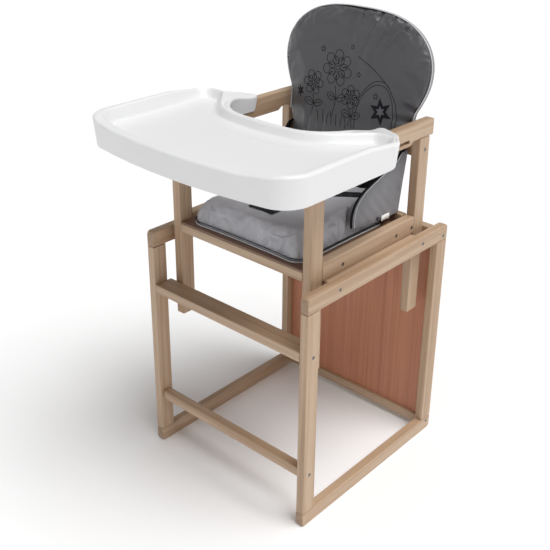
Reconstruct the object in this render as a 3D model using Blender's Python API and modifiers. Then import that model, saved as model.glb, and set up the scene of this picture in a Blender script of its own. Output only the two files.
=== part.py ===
"""Baby high chair: a small wooden armchair standing in a wooden base, with a plastic tray.

Metres, +Z up, and the child faces -Y. Left and right are as seen from the front.
The base is a frame of two side frames joined by cross bars and a veneered table panel.
The chair hangs in it by its seat rails, which rest on battens, and it lifts straight out.
The tray slides along a slot in each arm. Depths are measured from the base's front face,
and FRONT_Y puts that face where the object's footprint is centred on the origin.
"""

from math import atan, cos, pi, sin, tan

import bmesh
import bpy
from mathutils import Matrix, Vector

# Stock and clearances
GAP = 0.0003
BAR_THICK = 0.020
BAR_WIDE = 0.037
CROSS_BAR = 0.022
EDGE_ROUND = 0.0022
END_ROUND = 0.009

# Base
BASE_WIDTH = 0.468
BASE_DEPTH = 0.492
BASE_HEIGHT = 0.560
SKID_HEIGHT = 0.034
FOOTREST_TOP = 0.432
FOOTREST_DEPTH = 0.047
FOOTREST_THICK = 0.021
FOOTREST_BOLT_Y = 0.020
LOWER_BAR_Y = 0.007
LOWER_BAR_Z = 0.1215
PANEL_RAIL_Y = 0.465
BOTTOM_RAIL_Z = 0.012
STOP_RAIL_Y = (0.4440, 0.4645)
PANEL_THICK = 0.004
BATTEN_TOP = 0.553
BATTEN_INNER = 0.176
BATTEN_Y = (0.092, 0.399)
BATTEN_BOLT_IN = 0.0065

# Chair
CHAIR_WIDTH = 0.396
LEG_THICK = 0.022
LEG_FOOT = 0.350
FRONT_LEG_Y = 0.0485
REAR_LEG_Y = 0.4055
SEAT_Z = 0.583
SEAT_BOARD_THICK = 0.004
SEAT_BOARD_REAR = 0.368
MIDDLE_RAIL_Y = 0.132
REAR_RAIL_Y = 0.320
SIDE_RAIL_TOP = 0.594
SEAT_BOLT_Z = 0.569
ARM_TOP = 0.810
ARM_HEIGHT = 0.036
ARM_LIP = 0.008
ARM_FRONT_Y = 0.030
ARM_REAR_Y = 0.455
SLOT_END_Y = 0.369
SLOT_Z = (0.7735, 0.7815)
SLOT_DEPTH = 0.008

# Back, measured up and forward from the board's front face at the seat
BACK_LEAN = atan(0.156)
BACK_FOOT_Y = 0.3795
BOARD_THICK = 0.0055
BOARD_WAIST = 0.164
BOARD_SHOULDER = 0.188
BOARD_TOP = 0.434
BOARD_BELOW = 0.020
WAIST_TOP = 0.232
BACK_LOWER_RAIL_Y = (0.3880, 0.4070)
BACK_UPPER_RAIL_Y = (0.4165, 0.4365)
BACK_UPPER_RAIL_Z = 0.7265
PAD_FRONT = 0.027
PAD_REAR = 0.005
PAD_FOOT = 0.016
PAD_WAIST = 0.172
PAD_SHOULDER = 0.202
PAD_TOP = 0.4455
PAD_ROUND = 0.013
FLAP_TOP = 0.190
WING_ROOM = (0.1565, 0.172)

# Seat cushion, wings and harness
SEAT_PAD_Y = (0.062, 0.344)
SEAT_PAD_HALF = 0.157
SEAT_PAD_THICK = 0.049
SEAT_PAD_ROUND = 0.012
WING_X = 0.1610
WING_THICK = 0.004
WING_FOOT = (0.368, 0.604)
WING_TOP = 0.742
STRAP_WIDTH = 0.025
CROTCH_HALF = 0.035
CROTCH_Y = (0.100, 0.205)
CROTCH_THICK = 0.005
BUCKLE_HALF = 0.024
BUCKLE_Y = (0.206, 0.256)
BUCKLE_THICK = 0.013

# Tray
TRAY_HALF = 0.280
TRAY_FRONT = -0.137
TRAY_EAR_END = 0.294
TRAY_NOTCH = 0.130
TRAY_BOW = 0.030
NOTCH_BOW = 0.006
TRAY_WALL = 0.003
SKIRT_BOTTOM = 0.781
FLOOR_TOP = 0.816
RIM_LOW = 0.8345
RIM_RISE = 0.0095
RIM_ROUND = 0.0065
STEP_RISE = 0.0016
STEP_WIDE = 0.030
GUIDE_END = 0.277

# Bolts
BOLT_HEAD = 0.0042
BOLT_SHANK = 0.0026
BOLT_LENGTH = 0.034
BOLT_RIM = 0.0008
SOCKET_DEPTH = 0.0012
SOCKET_HALF = 0.0018
CUT_PAST = 0.002

FRONT_Y = -(BASE_DEPTH + TRAY_FRONT) / 2
SIDES = {"left": -1, "right": 1}

for old in list(bpy.data.objects):
    bpy.data.objects.remove(old, do_unlink=True)

PARTS = bpy.data.collections.new("baby_high_chair")
CUTTERS = bpy.data.collections.new("cutters")
bpy.context.scene.collection.children.link(PARTS)
bpy.context.scene.collection.children.link(CUTTERS)
CUTTERS.hide_render = True


def material(name, colour, roughness, metallic=0.0):
    made = bpy.data.materials.new(name)
    made.use_nodes = True
    shader = made.node_tree.nodes["Principled BSDF"]
    shader.inputs["Base Color"].default_value = (*colour, 1)
    shader.inputs["Roughness"].default_value = roughness
    shader.inputs["Metallic"].default_value = metallic
    return made


BEECH = material("beech", (0.56, 0.42, 0.29), 0.50)
VENEER = material("veneer", (0.29, 0.13, 0.07), 0.45)
TRAY_WHITE = material("tray_white", (0.86, 0.86, 0.86), 0.28)
SEAT_FABRIC = material("seat_fabric", (0.24, 0.24, 0.26), 0.55)
BACK_FABRIC = material("back_fabric", (0.07, 0.07, 0.075), 0.70)
WEBBING = material("webbing", (0.012, 0.012, 0.012), 0.80)
BUCKLE_BLACK = material("buckle_black", (0.02, 0.02, 0.02), 0.40)
STEEL = material("steel", (0.55, 0.55, 0.56), 0.32, 1.0)


def group(name, location):
    empty = bpy.data.objects.new(name, None)
    empty.location = location
    PARTS.objects.link(empty)
    return empty


BASE = group("base_frame", (0, 0, 0))
CHAIR = group("chair_lift_axis", (0, FRONT_Y + (FRONT_LEG_Y + REAR_LEG_Y) / 2, LEG_FOOT))
TRAY = group("tray_slide_axis", (0, FRONT_Y + TRAY_NOTCH, ARM_TOP))


def place(obj, owner, *materials):
    """Puts an object made in world coordinates into the model, under its group's empty."""
    for one in materials:
        obj.data.materials.append(one)
    PARTS.objects.link(obj)
    obj.parent = owner
    obj.location = obj.location - owner.location
    return obj


def helper(obj):
    """Makes an object a hidden cutter or joining piece."""
    obj.hide_render = True
    obj.display_type = "WIRE"
    CUTTERS.objects.link(obj)
    return obj


def bevel(obj, width=EDGE_ROUND, segments=2):
    made = obj.modifiers.new("rounded_edges", "BEVEL")
    made.width = width
    made.segments = segments
    made.limit_method = "ANGLE"
    made.harden_normals = True


def boolean(obj, other, operation="DIFFERENCE"):
    made = obj.modifiers.new(f"{operation.lower()}_{other.name}", "BOOLEAN")
    made.object = other
    made.operation = operation
    made.solver = "EXACT"


def block(name, x, y, z, round_ends=()):
    """A box between limits, y from the base's front. round_ends lists (y side, z side) edges to round."""
    size = Vector((x[1] - x[0], y[1] - y[0], z[1] - z[0]))
    mesh = bpy.data.meshes.new(name)
    bm = bmesh.new()
    bmesh.ops.create_cube(bm, size=1)
    bmesh.ops.scale(bm, vec=size, verts=bm.verts)
    for side in round_ends:
        edges = [e for e in bm.edges if is_cross_edge(e, size, side)]
        bmesh.ops.bevel(bm, geom=edges, offset=END_ROUND, segments=4, profile=0.5, affect="EDGES")
    bm.to_mesh(mesh)
    bm.free()
    mesh.shade_smooth()
    obj = bpy.data.objects.new(name, mesh)
    obj.location = (middle(x), FRONT_Y + middle(y), middle(z))
    return obj


def middle(limits):
    return sum(limits) / 2


def is_cross_edge(edge, size, side):
    """True for the edge along X on the given y side and z side of a box of this size."""
    middle = (edge.verts[0].co + edge.verts[1].co) / 2
    target = Vector((0, side[0] * size.y / 2, side[1] * size.z / 2))
    return (middle - target).length < 1e-6


def bar(name, x, y, z, owner, kind=BEECH, round_ends=()):
    obj = place(block(name, x, y, z, round_ends), owner, kind)
    bevel(obj)
    return obj


def side_bars(name, x, y, z, owner, round_ends=()):
    """The same bar on both sides. x gives the right-hand limits."""
    made = {}
    for side, sign in SIDES.items():
        limits = tuple(sorted((sign * x[0], sign * x[1])))
        made[side] = bar(f"{side}_{name}", limits, y, z, owner, BEECH, round_ends)
    return made


def outline_solid(name, points, thickness, placing):
    """A flat outline in its own XY plane, thickened by half each way and moved by a matrix."""
    curve = bpy.data.curves.new(name, "CURVE")
    curve.dimensions = "2D"
    curve.fill_mode = "BOTH"
    curve.extrude = thickness / 2
    spline = curve.splines.new("POLY")
    spline.points.add(len(points) - 1)
    spline.use_cyclic_u = True
    for point, (u, v) in zip(spline.points, points):
        point.co = (u, v, 0, 1)
    flat = bpy.data.objects.new(name, curve)
    PARTS.objects.link(flat)
    bpy.context.view_layer.update()
    graph = bpy.context.evaluated_depsgraph_get()
    mesh = bpy.data.meshes.new_from_object(flat.evaluated_get(graph))
    bpy.data.objects.remove(flat)
    bpy.data.curves.remove(curve)
    bm = bmesh.new()
    bm.from_mesh(mesh)
    bmesh.ops.remove_doubles(bm, verts=bm.verts, dist=1e-6)
    bmesh.ops.dissolve_limit(bm, angle_limit=0.001, verts=bm.verts, edges=bm.edges)
    bmesh.ops.transform(bm, matrix=placing.to_3x3().to_4x4(), verts=bm.verts)
    bmesh.ops.recalc_face_normals(bm, faces=bm.faces)
    bm.to_mesh(mesh)
    bm.free()
    mesh.shade_smooth()
    obj = bpy.data.objects.new(name, mesh)
    obj.location = placing.to_translation()
    return obj


def rounded(corners, edge_steps=1):
    """An open run of points from the first corner to the last, each inner corner (x, y, radius,
    arc steps) turned into an arc, and each straight stretch cut into edge_steps."""
    points = [Vector(corners[0][:2])]
    for before, corner, after in zip(corners, corners[1:], corners[2:]):
        here = Vector(corner[:2])
        into = (Vector(before[:2]) - here).normalized()
        out = (Vector(after[:2]) - here).normalized()
        half = into.angle(out) / 2
        reach = corner[2] / tan(half)
        centre = here + (into + out).normalized() * corner[2] / sin(half)
        start = here + into * reach - centre
        turn = pi - 2 * half
        sign = 1 if into.cross(out) < 0 else -1
        last = points[-1]
        first = centre + start
        points += [last.lerp(first, i / edge_steps) for i in range(1, edge_steps)]
        for i in range(corner[3] + 1):
            spin = Matrix.Rotation(sign * turn * i / corner[3], 2)
            points.append(centre + spin @ start)
    last = points[-1]
    end = Vector(corners[-1][:2])
    points += [last.lerp(end, i / edge_steps) for i in range(1, edge_steps + 1)]
    return points


def mirrored(half):
    """A closed outline from its right half, which starts and ends on x = 0."""
    return half + [Vector((-p.x, p.y)) for p in reversed(half[1:-1])]


# --- Bolts ------------------------------------------------------------------------------------


def turned(name, profile, steps=10):
    """A solid of revolution about its own Z. The profile runs down its outer side, top to bottom."""
    mesh = bpy.data.meshes.new(name)
    chain = [(i, i + 1) for i in range(len(profile) - 1)]
    mesh.from_pydata([(r, 0, z) for r, z in profile], chain, [])
    obj = bpy.data.objects.new(name, mesh)
    screw = obj.modifiers.new("turn", "SCREW")
    screw.steps = steps
    screw.render_steps = steps
    screw.use_merge_vertices = True
    screw.merge_threshold = 1e-5
    return obj


def bolt_profile(grow, recess):
    """A countersunk bolt's half section, its head's face at z = 0. A cutter has no recess."""
    head = BOLT_HEAD + grow
    shank = BOLT_SHANK + grow
    cone = -BOLT_RIM - (head - shank)
    end = -BOLT_LENGTH - grow
    if recess:
        face = [(0, -SOCKET_DEPTH), (SOCKET_HALF, -SOCKET_DEPTH), (SOCKET_HALF, 0)]
    else:
        face = [(0, CUT_PAST), (head, CUT_PAST)]
    return face + [(head, 0), (head, -BOLT_RIM - grow), (shank, cone), (shank, end), (0, end)]


def bolts(name, x, y, z, owner, through):
    """A bolt on each side, driven inwards from x. through names the bars it passes into."""
    for side, sign in SIDES.items():
        turn = Matrix.Rotation(sign * pi / 2, 4, "Y").to_euler()
        spot = Vector((sign * x, FRONT_Y + y, z))
        bolt = turned(f"{side}_{name}", bolt_profile(0, True))
        bolt.location = spot
        bolt.rotation_euler = turn
        place(bolt, owner, STEEL)
        hole = helper(turned(f"{side}_{name}_hole", bolt_profile(GAP, False)))
        hole.location = spot
        hole.rotation_euler = turn
        for bars in through:
            boolean(bars.get(side) or bars["both"], hole)


# --- Base -------------------------------------------------------------------------------------


def build_base():
    outer = BASE_WIDTH / 2
    inner = outer - BAR_THICK
    side_x = (inner, outer)
    across = (-inner + GAP, inner - GAP)
    rail_z = (BASE_HEIGHT - BAR_WIDE, BASE_HEIGHT)
    post_z = (SKID_HEIGHT + GAP, rail_z[0] - GAP)
    whole = (0, BASE_DEPTH)
    skids = side_bars("skid", side_x, whole, (0, SKID_HEIGHT), BASE, [(-1, -1), (1, -1)])
    rails = side_bars("top_rail", side_x, whole, rail_z, BASE, [(-1, 1), (1, 1)])
    front_posts = side_bars("front_post", side_x, (0, BAR_WIDE), post_z, BASE)
    side_bars("rear_post", side_x, (BASE_DEPTH - BAR_WIDE, BASE_DEPTH), post_z, BASE)

    foot_z = (FOOTREST_TOP - FOOTREST_THICK, FOOTREST_TOP)
    footrest = bar("footrest_plank", across, (0, FOOTREST_DEPTH), foot_z, BASE)
    lower_y = (LOWER_BAR_Y, LOWER_BAR_Y + CROSS_BAR)
    lower_z = (LOWER_BAR_Z, LOWER_BAR_Z + CROSS_BAR)
    lower = bar("lower_crossbar", across, lower_y, lower_z, BASE)
    frame_y = (PANEL_RAIL_Y, PANEL_RAIL_Y + CROSS_BAR)
    bottom_z = (BOTTOM_RAIL_Z, BOTTOM_RAIL_Z + CROSS_BAR)
    top_z = (rail_z[0] + GAP, rail_z[0] + GAP + CROSS_BAR)
    rear_bottom = bar("rear_bottom_rail", across, frame_y, bottom_z, BASE)
    panel_rail = bar("panel_top_rail", across, frame_y, top_z, BASE)
    bar("rear_top_rail", across, STOP_RAIL_Y, rail_z, BASE)
    panel_y = (middle(frame_y) - PANEL_THICK / 2, middle(frame_y) + PANEL_THICK / 2)
    panel_z = (bottom_z[1] + GAP, top_z[0] - GAP)
    place(block("table_panel", across, panel_y, panel_z), BASE, VENEER)

    batten_x = (BATTEN_INNER, inner - GAP)
    batten_z = (BATTEN_TOP - BAR_THICK, BATTEN_TOP)
    battens = side_bars("batten", batten_x, BATTEN_Y, batten_z, BASE)

    front_in = BATTEN_Y[0] + BATTEN_BOLT_IN
    rear_in = BATTEN_Y[1] - BATTEN_BOLT_IN
    rows = (
        ("footrest_bolt", FOOTREST_BOLT_Y, middle(foot_z), [front_posts, {"both": footrest}]),
        ("lower_crossbar_bolt", middle(lower_y), middle(lower_z), [front_posts, {"both": lower}]),
        ("rear_bottom_bolt", middle(frame_y), middle(bottom_z), [skids, {"both": rear_bottom}]),
        ("panel_rail_bolt", middle(frame_y), middle(top_z), [rails, {"both": panel_rail}]),
        ("batten_bolt_front", front_in, middle(batten_z), [rails, battens]),
        ("batten_bolt_rear", rear_in, middle(batten_z), [rails, battens]),
    )
    for name, y, z, through in rows:
        bolts(name, outer, y, z, BASE, through)


# --- Chair ------------------------------------------------------------------------------------


def arm_outline(underside):
    """An arm seen from the side, as (y, z): full depth behind the slot, deeper in front of it."""
    rear_bottom = ARM_TOP - ARM_HEIGHT
    step_slope = 0.012
    return [
        (ARM_FRONT_Y, underside),
        (SLOT_END_Y, underside),
        (SLOT_END_Y + step_slope, rear_bottom),
        (ARM_REAR_Y, rear_bottom),
        (ARM_REAR_Y, ARM_TOP),
        (ARM_FRONT_Y + 0.010, ARM_TOP),
        (ARM_FRONT_Y + 0.003, ARM_TOP - 0.003),
        (ARM_FRONT_Y, ARM_TOP - 0.010),
    ]


def build_arms(x, underside):
    facing = Matrix(((0, 0, 1), (1, 0, 0), (0, 1, 0))).to_4x4()
    for side, sign in SIDES.items():
        spot = Matrix.Translation((sign * middle(x), FRONT_Y, 0))
        arm = outline_solid(f"{side}_arm", arm_outline(underside), x[1] - x[0], spot @ facing)
        place(arm, CHAIR, BEECH)
        bevel(arm)
        slot_x = tuple(sorted((sign * (x[1] - SLOT_DEPTH), sign * (x[1] + 0.01))))
        slot = block(f"{side}_arm_slot", slot_x, (ARM_FRONT_Y - 0.01, SLOT_END_Y - 0.006), SLOT_Z)
        boolean(arm, helper(slot))


def back_plane(up, forward=0.0):
    """A matrix whose XY plane is the back board's front face, moved up along it and forward."""
    turn = Matrix.Rotation(pi / 2 - BACK_LEAN, 4, "X")
    foot = Matrix.Translation((0, FRONT_Y + BACK_FOOT_Y, SEAT_Z))
    return foot @ turn @ Matrix.Translation((0, up, forward))


def back_outline(foot, waist, shoulder, top):
    """Half widths up the back: straight to the arms, wider above them, and a round head."""
    widening = 0.045
    neck = WAIST_TOP + widening
    jaw = neck + 0.030
    halfway = (waist + shoulder) / 2 + 0.004
    points = [Vector((0, foot)), Vector((waist, foot)), Vector((waist, WAIST_TOP))]
    points.append(Vector((halfway, WAIST_TOP + widening / 2)))
    steps = 9
    for i in range(steps):
        angle = pi / 2 * i / steps
        points.append(Vector((shoulder * cos(angle) ** 0.80, jaw + (top - jaw) * sin(angle) ** 1.05)))
    points.append(Vector((0, top)))
    return mirrored(points)


def build_back():
    """The plywood back board, and the cushion that slips over it like a pocket."""
    board_shape = back_outline(-BOARD_BELOW, BOARD_WAIST, BOARD_SHOULDER, BOARD_TOP)
    depth = -BOARD_THICK / 2
    board = outline_solid("backrest_board", board_shape, BOARD_THICK, back_plane(0, depth))
    place(board, CHAIR, VENEER)
    slack = back_outline(-0.120, BOARD_WAIST + GAP, BOARD_SHOULDER + GAP, BOARD_TOP + GAP)
    room = outline_solid("board_room", slack, BOARD_THICK + 2 * GAP, back_plane(0, depth))
    rear = BOARD_THICK + PAD_REAR
    shape = back_outline(PAD_FOOT, PAD_WAIST, PAD_SHOULDER, PAD_TOP)
    spot = back_plane(0, (PAD_FRONT - rear) / 2)
    cushion = outline_solid("back_cushion", shape, PAD_FRONT + rear, spot)
    place(cushion, CHAIR, BACK_FABRIC)
    bevel(cushion, PAD_ROUND, 3)
    boolean(cushion, helper(room))
    thick = 0.030
    flap = lying_box((-0.3, 0.3), (-0.02, FLAP_TOP))
    below = outline_solid("below_rear_flap", flap, thick, back_plane(0, 0.0005 - thick / 2))
    boolean(cushion, helper(below))
    for side, sign in SIDES.items():
        cut = lying_box((sign * WING_ROOM[0], sign * 0.30), (-0.02, WING_ROOM[1]))
        wing_room = outline_solid(f"{side}_wing_room", cut, 0.090, back_plane(0, 0))
        boolean(cushion, helper(wing_room))


def lying_box(u, v):
    """The four corners of a rectangle in a drawing plane."""
    return [(u[0], v[0]), (u[1], v[0]), (u[1], v[1]), (u[0], v[1])]


def build_wings():
    """The fabric side wings between the seat cushion and the back, as flat panels."""
    top_y = WING_FOOT[0] + (WING_TOP - WING_FOOT[1]) * tan(BACK_LEAN) + 0.002
    outline = [(0.222, 0.614), WING_FOOT, (top_y, WING_TOP)]
    outline += [(0.349, 0.721), (0.298, 0.706), (0.252, 0.690), (0.226, 0.660)]
    facing = Matrix(((0, 0, 1), (1, 0, 0), (0, 1, 0))).to_4x4()
    for side, sign in SIDES.items():
        spot = Matrix.Translation((sign * WING_X, FRONT_Y, 0))
        wing = outline_solid(f"{side}_side_wing", outline, WING_THICK, spot @ facing)
        place(wing, CHAIR, SEAT_FABRIC)


def cushion_outline():
    front, rear = SEAT_PAD_Y
    half = [
        (0, front),
        (SEAT_PAD_HALF, front + 0.004, 0.030, 5),
        (SEAT_PAD_HALF, rear, 0.020, 4),
        (0, rear),
    ]
    return mirrored(rounded(half))


def build_seat():
    low = SEAT_Z + GAP
    spot = Matrix.Translation((0, FRONT_Y, low + SEAT_PAD_THICK / 2))
    cushion = outline_solid("seat_cushion", cushion_outline(), SEAT_PAD_THICK, spot)
    place(cushion, CHAIR, SEAT_FABRIC)
    bevel(cushion, SEAT_PAD_ROUND, 3)
    top = low + SEAT_PAD_THICK + GAP
    crotch = block("crotch_strap", (-CROTCH_HALF, CROTCH_HALF), CROTCH_Y, (top, top + CROTCH_THICK))
    place(crotch, CHAIR, WEBBING)
    bevel(crotch, 0.0015, 2)
    buckle = block("harness_buckle", (-BUCKLE_HALF, BUCKLE_HALF), BUCKLE_Y, (top, top + BUCKLE_THICK))
    place(buckle, CHAIR, BUCKLE_BLACK)
    bevel(buckle, 0.004, 3)
    build_waist_straps(top)


def build_waist_straps(z):
    """Webbing from each side of the buckle to the cushion's rear corner, lying on the cushion."""
    near = Vector((0.0255, 0.236))
    far = Vector((0.146, 0.318))
    thick = 0.002
    along = (far - near).normalized()
    across = Vector((-along.y, along.x)) * STRAP_WIDTH / 2
    corners = [near - across, far - across, far + across, Vector((near.x, (near + across).y))]
    for side, sign in SIDES.items():
        outline = [(sign * p.x, p.y) for p in corners]
        spot = Matrix.Translation((0, FRONT_Y, z + thick / 2))
        place(outline_solid(f"{side}_waist_strap", outline, thick, spot), CHAIR, WEBBING)


def build_chair():
    outer = CHAIR_WIDTH / 2
    inner = outer - LEG_THICK
    side_x = (inner, outer)
    across = (-inner + GAP, inner - GAP)
    underside = ARM_TOP - ARM_HEIGHT - ARM_LIP
    front_y = (FRONT_LEG_Y, FRONT_LEG_Y + BAR_WIDE)
    rear_y = (REAR_LEG_Y, REAR_LEG_Y + BAR_WIDE)
    side_bars("front_leg", side_x, front_y, (LEG_FOOT, underside - GAP), CHAIR)
    rear_legs = side_bars("rear_leg", side_x, rear_y, (LEG_FOOT, ARM_TOP - ARM_HEIGHT - GAP), CHAIR)
    rail_y = (front_y[1] + GAP, rear_y[0] - GAP)
    rails = side_bars("seat_rail", side_x, rail_y, (BATTEN_TOP + GAP, SIDE_RAIL_TOP), CHAIR)
    build_arms(side_x, underside)

    board_z = (SEAT_Z - SEAT_BOARD_THICK, SEAT_Z)
    rail_z = (board_z[0] - GAP - BAR_THICK, board_z[0] - GAP)
    middle_y = (MIDDLE_RAIL_Y, MIDDLE_RAIL_Y + BAR_WIDE)
    behind_y = (REAR_RAIL_Y, REAR_RAIL_Y + BAR_WIDE)
    bar("seat_front_rail", across, front_y, rail_z, CHAIR)
    centre = bar("seat_middle_rail", across, middle_y, rail_z, CHAIR)
    rear = bar("seat_rear_rail", across, behind_y, rail_z, CHAIR)
    board_y = (FRONT_LEG_Y + 0.001, SEAT_BOARD_REAR)
    place(block("seat_board", across, board_y, board_z), CHAIR, VENEER)
    lower_z = (rail_z[0], rail_z[0] + BAR_WIDE)
    upper_z = (BACK_UPPER_RAIL_Z, BACK_UPPER_RAIL_Z + BAR_WIDE)
    lower = bar("backrest_lower_rail", across, BACK_LOWER_RAIL_Y, lower_z, CHAIR)
    upper = bar("backrest_upper_rail", across, BACK_UPPER_RAIL_Y, upper_z, CHAIR)

    rows = (
        ("seat_bolt_front", middle(middle_y), SEAT_BOLT_Z, [rails, {"both": centre}]),
        ("seat_bolt_rear", middle(behind_y), SEAT_BOLT_Z, [rails, {"both": rear}]),
        ("backrest_bolt_lower", middle(BACK_LOWER_RAIL_Y), SEAT_BOLT_Z, [rails, {"both": lower}]),
        ("backrest_bolt_upper", middle(BACK_UPPER_RAIL_Y), middle(upper_z), [rear_legs, {"both": upper}]),
    )
    for name, y, z, through in rows:
        bolts(name, outer, y, z, CHAIR, through)
    build_back()
    build_wings()
    build_seat()


# --- Tray -------------------------------------------------------------------------------------


def smooth_step(value):
    held = min(max(value, 0), 1)
    return held * held * (3 - 2 * held)


def bowed(points):
    """Bends an outline so that its front bulges forward and its notch dips in the middle."""
    moved = []
    for p in points:
        front = TRAY_BOW * (p.x / TRAY_HALF) ** 2 * smooth_step(-p.y / 0.08)
        notch = NOTCH_BOW * min((p.x / 0.15) ** 2, 1) * smooth_step((p.y - 0.05) / 0.05)
        moved.append(Vector((p.x, p.y + front + notch)))
    return moved


def tray_rim():
    """The tray's outer edge in plan, with an ear beside the child on each side and a notch between."""
    half = [
        (0, TRAY_FRONT),
        (TRAY_HALF, TRAY_FRONT, 0.052, 8),
        (TRAY_HALF, 0.200, 0.070, 5),
        (0.226, 0.274, 0.030, 5),
        (0.168, TRAY_EAR_END, 0.013, 4),
        (0.168, TRAY_NOTCH, 0.110, 10),
        (0, TRAY_NOTCH),
    ]
    return bowed(mirrored(rounded(half, 4)))


def tray_basin():
    """The top edge of the sunken basin, with as many points as the rim's outline."""
    half = [
        (0, TRAY_FRONT + 0.022),
        (0.261, TRAY_FRONT + 0.022, 0.040, 8),
        (0.266, 0.190, 0.030, 5),
        (0.252, 0.216, 0.024, 5),
        (0.214, 0.216, 0.026, 4),
        (0.128, 0.119, 0.120, 10),
        (0, 0.112),
    ]
    return bowed(mirrored(rounded(half, 4)))


def inset(points, distances):
    """A closed outline moved inwards along its normals, by one distance or by one for each point."""
    count = len(points)
    if isinstance(distances, float):
        distances = [distances] * count
    moved = []
    for i, (point, distance) in enumerate(zip(points, distances)):
        along = (points[(i + 1) % count] - points[i - 1]).normalized()
        moved.append(point + Vector((-along.y, along.x)) * distance)
    return moved


def rim_height(point):
    """The rim is highest along the sides, and lower at the front, the rear corners and the notch."""
    at_side = smooth_step((abs(point.x) - 0.190) / 0.070)
    before_rear = 1 - smooth_step((point.y - 0.110) / 0.100)
    return RIM_LOW + RIM_RISE * at_side * before_rear


def edge_height(point):
    """The height of the outer edge, which falls towards the end of each ear."""
    return rim_height(point) - 0.013 * smooth_step((point.y - 0.195) / 0.080)


def beside_notch(point):
    """How much of the floor's low shelf runs along here: 1 at the notch, 0 at the ears and beyond."""
    return smooth_step((0.185 - abs(point.x)) / 0.110) * smooth_step((point.y - 0.060) / 0.030)


def skirt_height(point):
    """The height of the skirt's lower edge, which is shallow across the notch."""
    in_notch = smooth_step((0.168 - abs(point.x)) / 0.03) * smooth_step((point.y - 0.05) / 0.05)
    return SKIRT_BOTTOM + 0.020 * in_notch


def shoulder(inner, crest, rim):
    """The foot of the rim's raised bead. On an ear the lower shelf begins there."""
    width = (crest - inner).length
    part = 1 - min(0.6, 0.011 / width)
    spot = inner.lerp(crest, part)
    drop = 0.005 * smooth_step((width - 0.012) / 0.020)
    return (spot.x, spot.y, edge_height(rim) * (1 - part) + (rim_height(crest) - drop) * part)


def tray_rows():
    """The tray's upper surface as closed rows of points, from the skirt's lower edge to the floor."""
    rim = tray_rim()
    basin = tray_basin()
    rows = [[(p.x, p.y, skirt_height(q)) for p, q in zip(inset(rim, 0.005), rim)]]
    rows.append([(p.x, p.y, edge_height(p) - RIM_ROUND) for p in rim])
    for step in (1, 2, 3):
        angle = pi / 2 * step / 3
        shifted = inset(rim, RIM_ROUND * (1 - cos(angle)))
        lift = RIM_ROUND * (sin(angle) - 1)
        rows.append([(p.x, p.y, edge_height(q) + lift) for p, q in zip(shifted, rim)])
    inner = inset(rim, RIM_ROUND)
    crest = inset(basin, -0.0035)
    rows.append([shoulder(*three) for three in zip(inner, crest, rim)])
    rows.append([(p.x, p.y, rim_height(p)) for p in crest])
    rows.append([(p.x, p.y, rim_height(p) - 0.001) for p in inset(basin, -0.0015)])
    rows.append([(p.x, p.y, rim_height(p) - 0.004) for p in inset(basin, 0.001)])
    rows.append([(p.x, p.y, FLOOR_TOP + 0.005) for p in inset(basin, 0.007)])
    step = [beside_notch(p) for p in basin]
    for reach, wide, rise in ((0.012, 0, 1), (0.015, STEP_WIDE, 1), (0.018, STEP_WIDE, 0)):
        shifted = inset(basin, [reach + wide * part for part in step])
        lifts = [FLOOR_TOP + STEP_RISE * rise * part for part in step]
        rows.append([(p.x, p.y, lift) for p, lift in zip(shifted, lifts)])
    return rows


def build_tray():
    mesh = bpy.data.meshes.new("tray")
    bm = bmesh.new()
    loops = [[bm.verts.new((x, FRONT_Y + y, z)) for x, y, z in row] for row in tray_rows()]
    for lower, upper in zip(loops, loops[1:]):
        for i in range(len(lower)):
            bm.faces.new((lower[i - 1], lower[i], upper[i], upper[i - 1]))
    floor = bm.faces.new(loops[-1])
    bmesh.ops.recalc_face_normals(bm, faces=bm.faces)
    bm.normal_update()
    if floor.normal.z < 0:
        bmesh.ops.reverse_faces(bm, faces=bm.faces)
    bm.to_mesh(mesh)
    bm.free()
    mesh.shade_smooth()
    tray = place(bpy.data.objects.new("tray", mesh), TRAY, TRAY_WHITE)
    shell = tray.modifiers.new("wall", "SOLIDIFY")
    shell.thickness = TRAY_WALL
    shell.offset = -1
    add_guides(tray)


def add_guides(tray):
    """Under each ear: room for the arm, and a rib with a lip that runs in the arm's slot."""
    outer = CHAIR_WIDTH / 2
    room_x = (outer - LEG_THICK - 0.0035, outer + 0.002)
    wall_x = (outer + 0.0025, outer + 0.0060)
    lip_x = (outer - 0.0060, outer + 0.0045)
    room_z = (0.760, ARM_TOP + 0.0012)
    wall_z = (0.7700, FLOOR_TOP - 0.0012)
    lip_z = (SLOT_Z[0] + 0.0013, SLOT_Z[1] - 0.0013)
    for side, sign in SIDES.items():
        boolean(tray, guide(f"{side}_arm_passage", room_x, sign, (0.200, 0.315), room_z))
        wall = guide(f"{side}_guide", wall_x, sign, (0.050, GUIDE_END), wall_z)
        lip = guide(f"{side}_guide_lip", lip_x, sign, (0.100, GUIDE_END), lip_z)
        boolean(tray, wall, "UNION")
        boolean(tray, lip, "UNION")


def guide(name, x, sign, y, z):
    """A box under the tray beside an arm: a rib, its lip in the arm's slot, or room for the arm."""
    limits = tuple(sorted((sign * x[0], sign * x[1])))
    return helper(block(name, limits, y, z))


build_base()
build_chair()
build_tray()
bpy.context.view_layer.update()
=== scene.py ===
"""Looks of the baby high chair: wood, plastic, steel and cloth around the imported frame.

Metres, +Z up, and the child faces -Y. Left and right are as seen from the front. Every soft piece is
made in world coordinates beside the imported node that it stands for, so object coordinates are world
coordinates on all pieces, and the materials use them.
"""

import random
from math import atan, cos, exp, pi, radians, sin, tan

import bmesh
import bpy
import numpy as np
from mathutils import Matrix, Vector, noise
from mathutils.bvhtree import BVHTree


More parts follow.
